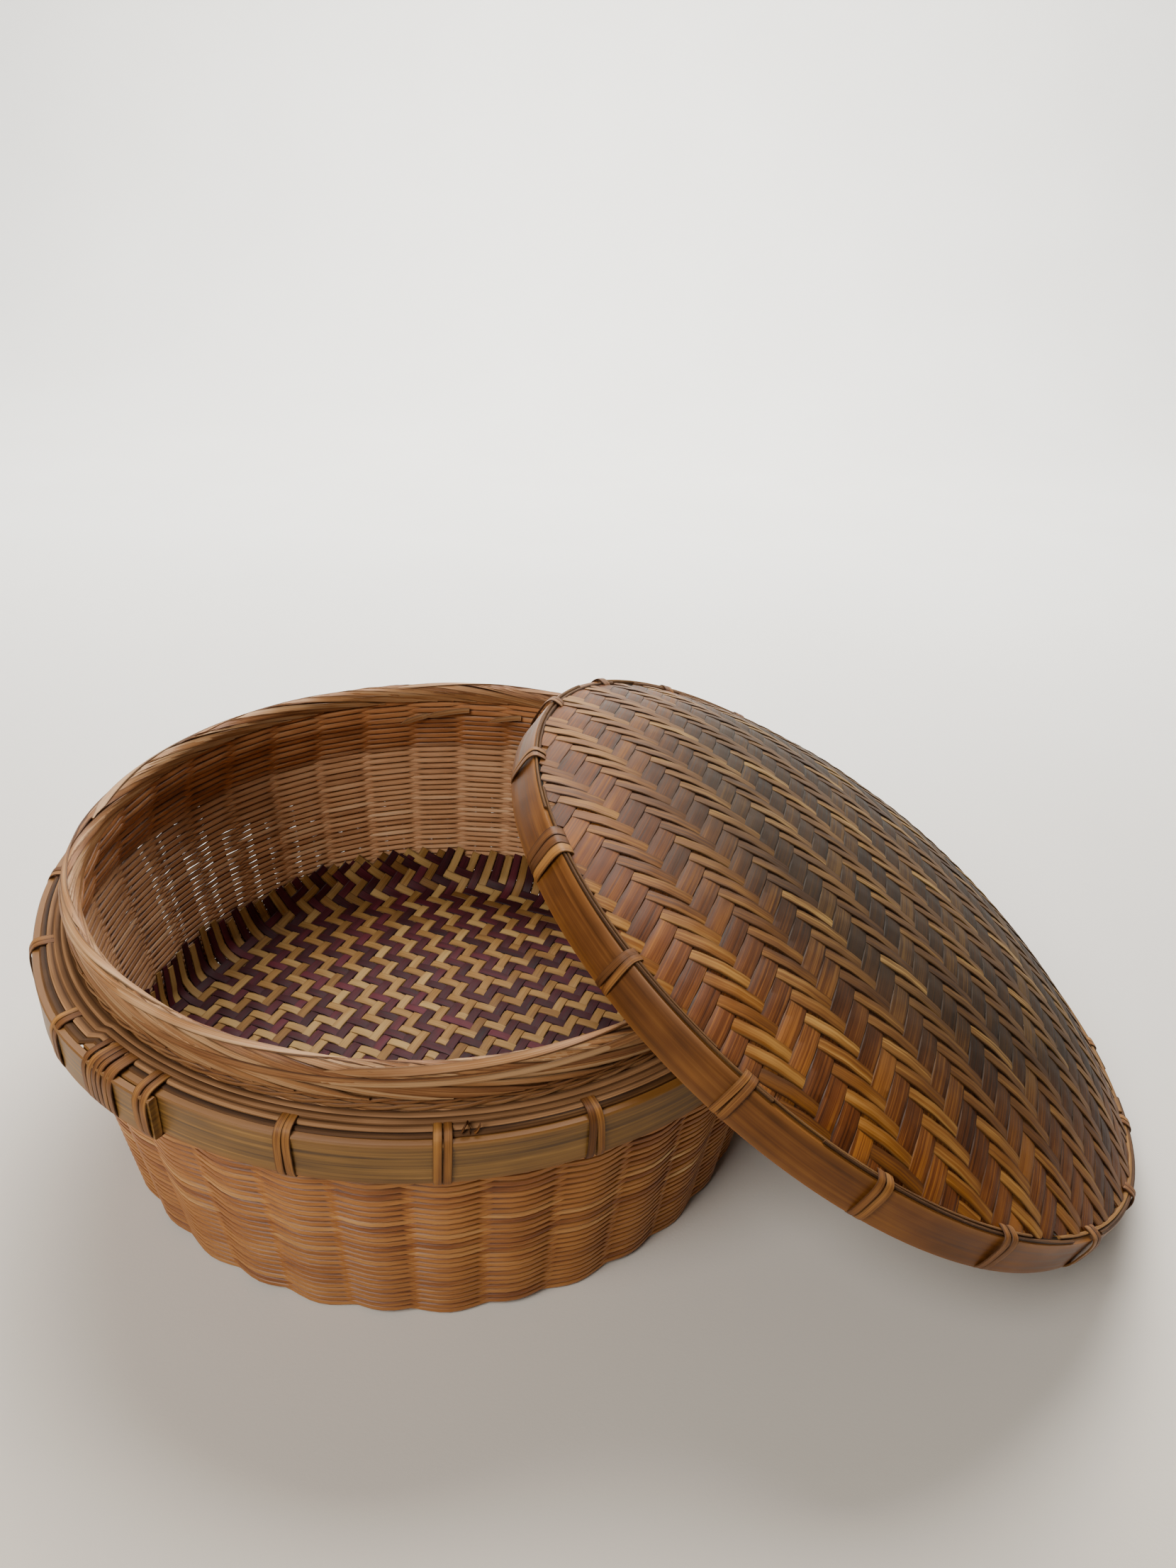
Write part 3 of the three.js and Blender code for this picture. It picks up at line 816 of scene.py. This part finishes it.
def ledge_canes():
    """Canes lying side by side, stepping down from the wall to the band's top edge."""
    angle = np.linspace(0, TURN, RING_STEPS)
    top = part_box("ledge_cane_outer")[1].z
    outer = BAND_INNER + 0.2 * MM + lap_climb((angle - LAP_START) % TURN)
    wall = wall_middle(top, angle) + wall_half(top)
    step = (outer - wall) / LEDGE_CANES
    pieces = {"dark": Strips(ROUND), "pale": Strips(ROUND)}
    for line in range(LEDGE_CANES):
        # The cane next to the band is dark: painted shade for the dark line between band and wall
        # rows.
        kind = "dark" if line == LEDGE_CANES - 1 else "pale"
        height = top + (0.9 - 0.6 * line) * MM + wobble(angle, 30 + line, 0.3 * MM)
        pieces[kind].sweep(polar(wall + (line + 0.5) * step, angle, height),
                           polar(-0.4 * MM, angle, 1.1 * MM),
                           polar(1.0, angle, 0.3) * (step * 0.6)[:, None],
                           rng.uniform(0.35, 0.75), closed=True)
    pieces["dark"].build("ledge_dark_filler", "dark", "basket", ["ledge_cane_inner"],
                         "dark_cane")
    pieces["pale"].build("ledge_pale_filler", "pale", "basket", ["ledge_cane_outer"],
                         "pale_cane")


def rounded(corners):
    """A closed outline with its corners cut into curves."""
    line = np.array(corners, float)
    for _ in range(3):
        after = np.roll(line, -1, axis=0)
        line = np.stack([line * 0.8 + after * 0.2, line * 0.2 + after * 0.8], 1).reshape(-1, 2)
    return np.concatenate([line, line[:1]])


TIE_THICK = 0.32 * MM
TIE_INSET = 0.4 * MM
TIE_NEAR = 0.1 * MM
LID_TIE_DROP = 1.8 * MM
# How many turns a lashing has, how far apart they lie, and half a turn's width.
TIE = (2, 3.0 * MM, 1.4 * MM)
WRAPS = {"ledge_lap_wrap": (6, 2.7 * MM, 1.25 * MM), "lid_lap_wrap": (3, 4.1 * MM, 2.1 * MM)}


def add_turn(strips, corners, angle, shift, lean, half, tone):
    """One turn of flat cane round an outline of radius and height, at an angle."""
    line = rounded(corners)
    step = np.roll(line[:-1], -1, axis=0) - np.roll(line[:-1], 1, axis=0)
    step = np.concatenate([step, step[:1]])
    step /= np.linalg.norm(step, axis=1, keepdims=True)
    normal = np.stack([step[:, 1], -step[:, 0]], -1)
    middle = line[:, 1].mean()
    turned = angle + (shift + lean * (line[:, 1] - middle)) / line[:, 0].max()
    side = np.stack([-np.sin(turned), np.cos(turned), 0 * turned], -1) * half
    strips.sweep(polar(line[:, 0], turned, line[:, 1]), side,
                 polar(normal[:, 0], turned, normal[:, 1]) * TIE_THICK, tone, closed=True)


def angle_of(co):
    """The angle at which corners lie round the axis."""
    middle = co.mean(0)
    return math.atan2(middle[1], middle[0])


def loop_corners(co, drop):
    """The corners of a lashing's loop, a little inside its CAD solid, its top lowered by drop."""
    radius = np.hypot(co[:, 0], co[:, 1])
    height = co[:, 2]
    low_in = radius[height < height.min() + TIE_NEAR].min() + TIE_INSET
    high_in = radius[height > height.max() - TIE_NEAR].min() + TIE_INSET
    outside = radius.max() - TIE_INSET
    low, high = height.min() + TIE_INSET, height.max() - TIE_INSET - drop
    return [(low_in, low), (outside, low), (outside, high), (high_in, high)]


def lashings():
    """The cane ties round the band and the lid's hoop, and the wider wraps over their laps."""
    for node in sorted(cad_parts):
        if "lashing" not in node and "wrap" not in node:
            continue
        body = "lid" if node.startswith("lid") else "basket"
        co = lid_local(node) if body == "lid" else corners_of(node)
        angle = angle_of(co)
        corners = loop_corners(co, LID_TIE_DROP if body == "lid" else 0.0)
        strips = Strips(FLAT)
        turns, pitch, half = WRAPS.get(node, TIE)
        for turn in range(turns):
            shift = (turn - (turns - 1) / 2) * pitch
            add_turn(strips, corners, angle, shift, rng.uniform(-0.06, 0.06),
                     half * rng.uniform(0.9, 1.05), rng.uniform(0.3, 0.8))
        if body == "lid":
            on_lid(strips)
        strips.build(node.replace("lashing", "cane_tie").replace("wrap", "cane_wrap"), "lashing",
                     body, [node], "lashing")


# Each loose end's angle, its length, and how far below the rim's foot it starts.
LOOSE_ENDS = ((1.42, 17 * MM, 2.4 * MM), (1.62, 24 * MM, 0.4 * MM), (1.78, 14 * MM, 3.4 * MM))
LOOSE_HALF = 1.5 * MM
LOOSE_FALL = 2.5 * MM


def loose_ends():
    """Ends of splints that have sprung away under the rim, at the back."""
    strips = Strips(FLAT)
    for angle, length, drop in LOOSE_ENDS:
        run = np.linspace(0, 1, 12)
        turned = angle + run * length / WALL_IN[-1]
        radius = WALL_IN[-1] - (0.8 + 3.0 * run ** 2) * MM
        height = RIM_LOW - drop - run * LOOSE_FALL
        half = LOOSE_HALF * np.clip(3.5 * (1.02 - run), 0.1, 1)
        strips.sweep(polar(radius, turned, height), np.array([0, 0, 1.0]) * half[:, None],
                     polar(0.35 * MM, turned, 0.0), 0.9)
    strips.build("rim_loose_ends", "rim", "basket", [], "rim")


KNOT_STEPS = 40
KNOT_TURNS = 2.2
KNOT_RADIUS = 1.5 * MM
KNOT_CANE = 0.6 * MM


def knot():
    """A small knot in the cane beside one lashing."""
    strips = Strips(ROUND)
    centre = angle_of(corners_of("ledge_lashing_16")) + math.radians(3.2)
    run = np.linspace(0, 1, KNOT_STEPS)
    coil = KNOT_TURNS * TURN * run
    radius = BAND_INNER - 1.4 * MM + KNOT_RADIUS * np.cos(coil)
    turned = centre + (5 * run - 2.5 + 1.2 * np.sin(coil * 0.5)) * MM / BAND_INNER
    height = BAND_HIGH + 1.6 * MM + KNOT_RADIUS * np.sin(coil)
    strips.sweep(polar(radius, turned, height), np.tile([0, 0, KNOT_CANE], (KNOT_STEPS, 1)),
                 polar(KNOT_CANE, turned, 0.0), 0.5)
    strips.build("lashing_knot", "lashing", "basket", [], "lashing")


# ---- lid ----------------------------------------------------------------------------------

GOLD_PITCH = 5.0 * MM
BROWN_PITCH = 6.8 * MM
LID_STRIPS = (58, 42)
LID_RISES = (0.75 * MM, 0.4 * MM)
LID_TURN = math.radians(-12)


def dome_surface(u, v, lift):
    """A point over the lid, from plan coordinates in the lid's frame."""
    limit = DOME_RADIUS - 0.3 * MM
    size = np.hypot(u, v)
    shrink = np.minimum(limit / np.maximum(size, 1e-9), 1.0)
    share = np.minimum(size / DOME_RADIUS, limit / DOME_RADIUS)
    rise = DOME_TOP - HOOP_HEIGHT
    height = HOOP_HEIGHT + rise * (1 - share ** DOME_POWER) - 0.6 * MM + lift
    return np.stack([u * shrink, v * shrink, height], -1)


def lid_polish_and_sheen(points):
    """The lid is brighter and glossier near its hoop, most of all at the front and the left:
    partly shine from handling, partly painted sheen.
    """
    side, depth = points[:, 0] / DOME_RADIUS, points[:, 1] / DOME_RADIUS
    return np.clip(1.5 * (side ** 2 + depth ** 2) - 0.6 - 0.35 * depth - 0.3 * side, 0, 1)


def lid_weave():
    """Narrow strips pass over three broad ones and under three, each a step further on."""
    gold, brown = Strips(), Strips()
    limit = DOME_RADIUS - 0.5 * MM

    def over(first, second):
        return 1.15 * np.sin(TURN * (second + first + 0.5) / 6)

    def reach(offset):
        half = math.sqrt(max(limit ** 2 - offset ** 2, 0.0))
        return -half, half

    weave = Weave(pitches=(GOLD_PITCH, BROWN_PITCH), counts=LID_STRIPS,
                  halves=(GOLD_PITCH * 0.5, BROWN_PITCH * 0.52), lifts=LID_RISES, samples=3,
                  taper=(0.14, 0.0), stray=(0.04, 0.006))
    plait(weave, lambda which, index: (gold, brown)[which], dome_surface, LID_TURN, over, reach)
    # Mask of handling shine and painted sheen near the hoop.
    for strips in (gold, brown):
        strips.polish_and_sheen = lid_polish_and_sheen(np.concatenate(strips.points))
    on_lid(gold).build("lid_narrow_strips", "lid_gold", "lid", ["lid_dome"], "dome")
    on_lid(brown).build("lid_broad_strips", "lid_brown", "lid", [], "dome")


HOOP_SECTION = np.array([(-1, -0.9), (-1, 0.8), (-0.93, 1), (-0.3, 1), (0.3, 1), (0.93, 1),
                         (1, 0.8), (1, -0.9), (0.9, -1), (-0.9, -1)])


def lid_ring(name, material, low, high, radius, thickness, lean, nodes, slot, tone):
    """A hoop round the lid.  radius is its outer one at the foot, lean how far its top leans in."""
    strips = Strips(HOOP_SECTION)
    angle = np.linspace(0, TURN, RING_STEPS)
    across = polar(-lean / 2, angle, (high - low) / 2)
    strips.sweep(polar(radius - thickness / 2 - lean / 2, angle, (low + high) / 2), across,
                 polar(thickness / 2, angle, 0.0), tone, closed=True)
    on_lid(strips).build(name, material, "lid", nodes, slot)


HOOP_THICKNESS = 2.2 * MM
HOOP_LEAN = 1.0 * MM
SKIRT_THICKNESS = 1.4 * MM
SKIRT_LOW = 1.0 * MM


def lid_hoops():
    """The hoop outside the dome's skirt, the skirt itself, and the hoop inside it."""
    lid_ring("lid_hoop", "hoop", 0.0, HOOP_HEIGHT, HOOP_RADIUS, HOOP_THICKNESS, HOOP_LEAN,
             ["lid_outer_hoop"], "hoop", 0.5)
    inner = lid_local("lid_inner_hoop")
    radius = np.hypot(inner[:, 0], inner[:, 1])
    lid_ring("lid_hoop_inside", "hoop", inner[:, 2].min(), inner[:, 2].max(), radius.max(),
             radius.max() - radius.min(), 0.0, ["lid_inner_hoop"], "hoop", 0.4)
    lid_ring("lid_skirt", "lid_brown", SKIRT_LOW, HOOP_HEIGHT, DOME_RADIUS, SKIRT_THICKNESS, 0.0,
             [], "dome", 0.5)


FILLER_SPLINTS = 7
# How far inside the hoop's outer face each line of splints lies, and how far above its top.
FILLER_LINES = ((2.4 * MM, 0.2 * MM), (3.7 * MM, 0.3 * MM))


def lid_filler():
    """Split canes lying along the hoop's top, with gaps between them."""
    strips = Strips(ROUND)
    for line, (inset, height) in enumerate(FILLER_LINES):
        start = line * 0.7
        for _ in range(FILLER_SPLINTS):
            span = rng.uniform(0.72, 0.88)
            angle = np.linspace(start, start + span, 60)
            start += TURN / FILLER_SPLINTS
            radius = HOOP_RADIUS - inset + wobble(angle, line + 2, 0.25 * MM)
            level = HOOP_HEIGHT + height + wobble(angle, line + 9, 0.3 * MM)
            strips.sweep(polar(radius, angle, level), polar(0.9 * MM, angle, 0.3 * MM),
                         polar(0.2 * MM, angle, 0.9 * MM), rng.uniform(0.2, 0.8))
    on_lid(strips).build("lid_filler_splints", "dark", "lid", ["lid_filler_cane"], "dark_cane")


# ---- stage --------------------------------------------------------------------------------

FLOOR_FRONT = -3.0
FLOOR_BACK = 1.1
FLOOR_BEND = 0.6
FLOOR_HALF = 4.0
PAPER_TOP = 3.0


def backdrop():
    """A pale floor that curves up into a wall far behind the object."""
    turn = np.linspace(0, math.pi / 2, 16)
    curve = FLOOR_BACK + FLOOR_BEND * np.sin(turn)
    y = np.concatenate([[FLOOR_FRONT, 0.0], curve, [FLOOR_BACK + FLOOR_BEND]])
    z = np.concatenate([[0.0, 0.0], FLOOR_BEND * (1 - np.cos(turn)), [PAPER_TOP]])
    points = [(x, float(b), float(c)) for b, c in zip(y, z) for x in (-FLOOR_HALF, FLOOR_HALF)]
    faces = [(2 * i, 2 * i + 1, 2 * i + 3, 2 * i + 2) for i in range(len(y) - 1)]
    mesh = bpy.data.meshes.new("backdrop")
    mesh.from_pydata(points, [], faces)
    mesh.polygons.foreach_set("use_smooth", [True] * len(faces))
    made = Shader("pale_paper")
    place = made.node("ShaderNodeTexCoord", {}).outputs["Object"]
    blot = made.noise(place, 6.0, 4.0)
    fleck = made.noise(place, 900.0, 2.0)
    # Painted light on the floor: darker towards the front, paler towards the back.
    depth = made.range(made.split(place)[1], -0.35, 0.75)
    colour = made.blend(made.range(blot, 0.3, 0.7, 0.0, 0.12),
                        made.ramp(depth, [(0.0, "c9bdab"), (0.35, "d8d2ca"), (1.0, "f2f1ec")]),
                        rgb("cfcac2"))
    mesh.materials.append(made.finish(colour, 0.75, fleck, 0.05 * MM))
    floor = bpy.data.objects.new("backdrop", mesh)
    bpy.context.scene.collection.objects.link(floor)


def area_light(name, place, target, size, power, colour):
    """A round soft lamp at a place, turned to a target."""
    lamp = bpy.data.lights.new(name, "AREA")
    lamp.shape = "DISK"
    lamp.size = size
    lamp.energy = power
    lamp.color = colour
    held = bpy.data.objects.new(name, lamp)
    held.location = place
    held.rotation_euler = (Vector(target) - Vector(place)).to_track_quat("-Z", "Y").to_euler()
    bpy.context.scene.collection.objects.link(held)


WARM = (1.0, 0.98, 0.95)
# Each lamp's name, place, target, size, power and colour.
LAMPS = (("key", (-0.65, -1.0, 1.25), (0.05, 0.0, 0.05), 0.9, 25, WARM),
         ("top", (0.1, 0.7, 1.6), (0.08, 0.0, 0.05), 0.9, 4, WARM),
         ("paper", (0.0, 1.0, 1.7), (0.0, 1.9, 0.3), 1.6, 95, (1.0, 0.99, 0.97)))
ROOM_COLOUR = (1.0, 0.98, 0.96, 1)
ROOM_STRENGTH = 0.14


def lighting():
    """A key lamp at the front left, a weak one above, and one for the paper behind."""
    for lamp in LAMPS:
        area_light(*lamp)
    world = bpy.data.worlds.new("soft_room")
    world.use_nodes = True
    background = world.node_tree.nodes["Background"]
    background.inputs["Color"].default_value = ROOM_COLOUR
    background.inputs["Strength"].default_value = ROOM_STRENGTH
    bpy.context.scene.world = world


CAMERA_PLACE = (0.06927, -0.38736, 0.3561)
CAMERA_PITCH = 0.505
CAMERA_HEADING = 0.027
CAMERA_ROLL = 0.047
SENSOR_WIDTH = 36
FOCAL_LENGTH = 26.17


def camera():
    """Seen from the front and above, close enough for a strong perspective."""
    lens = bpy.data.cameras.new("camera")
    lens.sensor_width = SENSOR_WIDTH
    lens.lens = FOCAL_LENGTH
    held = bpy.data.objects.new("camera", lens)
    held.location = CAMERA_PLACE
    look = Euler((math.pi / 2 - CAMERA_PITCH, 0, CAMERA_HEADING)).to_matrix()
    held.rotation_euler = (look @ Euler((0, 0, CAMERA_ROLL)).to_matrix()).to_euler()
    bpy.context.scene.collection.objects.link(held)
    bpy.context.scene.camera = held


wall_wefts()
stakes()
base_mat()
base_underlay()
rim()
braid()
ledge_band()
ledge_canes()
lashings()
loose_ends()
knot()
lid_weave()
lid_hoops()
lid_filler()
backdrop()
lighting()
camera()
